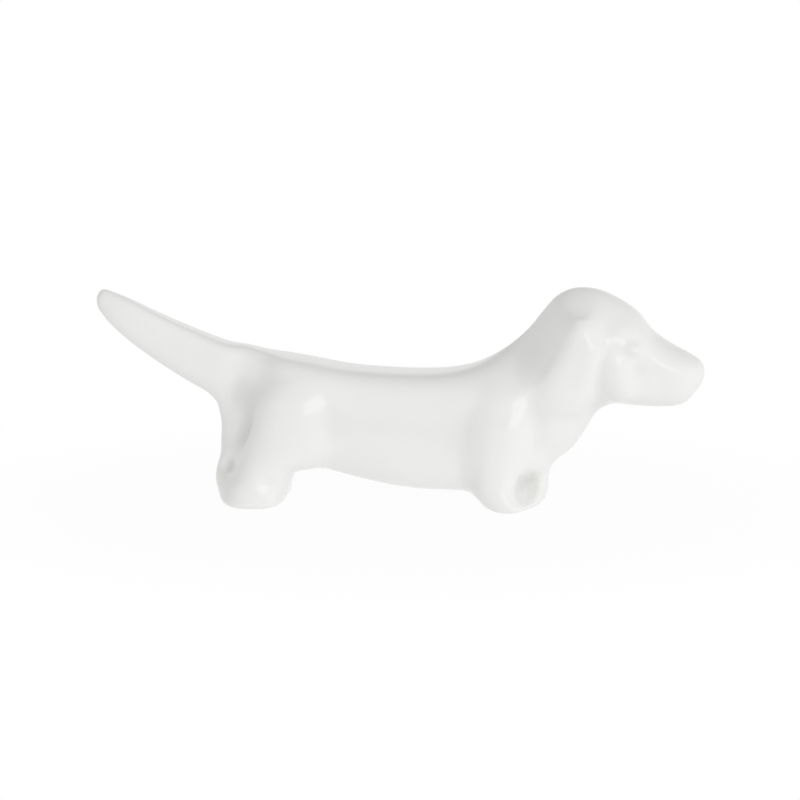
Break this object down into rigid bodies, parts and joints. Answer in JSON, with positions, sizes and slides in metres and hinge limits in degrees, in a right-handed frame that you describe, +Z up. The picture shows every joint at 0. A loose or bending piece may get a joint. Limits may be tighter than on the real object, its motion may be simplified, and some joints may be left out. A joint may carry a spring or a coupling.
{
  "type": "knife rest",
  "caption": "Glazed porcelain knife rest shaped as a standing dachshund with a raised tail; the blade lies across the back, between neck and tail",
  "frame": {"origin": "on the table, under the middle of the overall length and width", "axes": "+X towards the nose, +Y towards the dog's left side, +Z up"},
  "size_m": [0.0948, 0.019, 0.0345],
  "materials": {
    "glazed_porcelain": "clear gloss glaze over white porcelain, bare on the soles"
  },
  "bodies": {
    "root": {"torso": "glazed_porcelain", "head": "glazed_porcelain", "left_ear": "glazed_porcelain", "right_ear": "glazed_porcelain", "tail": "glazed_porcelain", "left_foreleg": "glazed_porcelain", "right_foreleg": "glazed_porcelain", "left_hind_leg": "glazed_porcelain", "right_hind_leg": "glazed_porcelain"}
  },
  "joints": []
}
